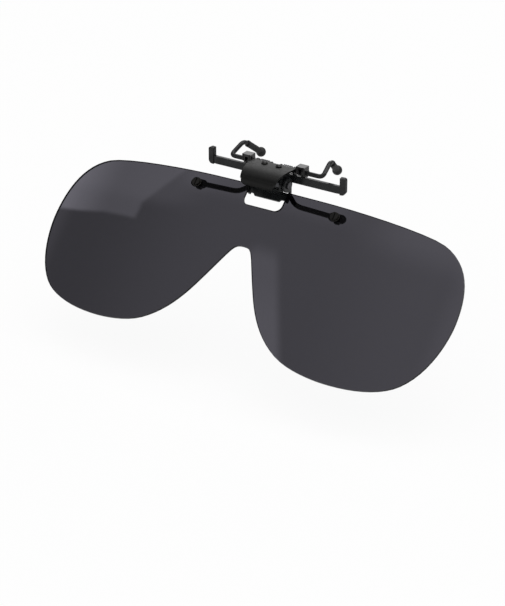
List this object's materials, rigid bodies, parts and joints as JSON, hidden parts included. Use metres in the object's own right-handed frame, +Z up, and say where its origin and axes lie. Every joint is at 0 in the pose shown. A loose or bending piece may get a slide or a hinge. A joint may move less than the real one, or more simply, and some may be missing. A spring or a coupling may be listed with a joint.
{
  "type": "flip-up clip-on sunglasses",
  "caption": "Rimless flip-up clip-on sun lens with a nose arch, a hinged cover, a flat clip bar with prongs, and sprung wire arms that grip an eyeglass frame.",
  "frame": {"origin": "middle of the clip bar's rear face, which lies against the eyeglasses", "axes": "+X to the viewer's right along the bar, +Y back towards the wearer, +Z up as worn"},
  "size_m": [0.139, 0.0531, 0.0465],
  "materials": {
    "smoke_lens": "smooth gloss, smoke grey",
    "black_metal": "black plated, semi-gloss",
    "cover_paint": "satin black",
    "black_fasteners": "black oxide",
    "bare_steel": "dark, fine brushed",
    "black_rubber": "matt",
    "black_plastic": "gloss",
    "clear_washer": "semi-matt"
  },
  "bodies": {
    "clip": {"clip_bar": "black_metal", "hinge_frame": "black_metal", "hinge_cover": "cover_paint", "cover_rivets": "black_fasteners", "frame_rivets": "black_fasteners", "leaf_spring": "bare_steel", "left_prong_pad": "black_rubber", "right_prong_pad": "black_rubber", "left_clamp_spring": "bare_steel", "right_clamp_spring": "bare_steel"},
    "flip_lens": {"lens_plate": "smoke_lens", "lens_bracket": "black_metal", "hinge_pin": "bare_steel", "flip_cam": "bare_steel", "left_lens_screw": "black_fasteners", "right_lens_screw": "black_fasteners", "left_lens_nut": "black_fasteners", "right_lens_nut": "black_fasteners", "left_lens_washer": "clear_washer", "right_lens_washer": "clear_washer"},
    "left_arm": {"left_arm_wire": "black_metal", "left_tip_sleeve": "black_rubber", "left_pinch_tab": "black_plastic"},
    "right_arm": {"right_arm_wire": "black_metal", "right_tip_sleeve": "black_rubber", "right_pinch_tab": "black_plastic"}
  },
  "joints": [
    {"name": "lens_flip", "type": "hinge", "parent": "clip", "child": "flip_lens", "pos_m": [0, -0.0046, -0.0006], "axis": [-1, 0, 0], "range_deg": [-46, 44]},
    {"name": "left_arm_swing", "type": "hinge", "parent": "clip", "child": "left_arm", "pos_m": [-0.0085, -0.00045, 0.0026], "axis": [1, 0, 0], "range_deg": [0, 35], "stiffness_Nm_per_rad": 0.006, "springref_deg": -40.11},
    {"name": "right_arm_swing", "type": "hinge", "parent": "clip", "child": "right_arm", "pos_m": [0.0085, -0.00045, 0.0026], "axis": [1, 0, 0], "range_deg": [0, 35], "stiffness_Nm_per_rad": 0.006, "springref_deg": -40.11}
  ]
}
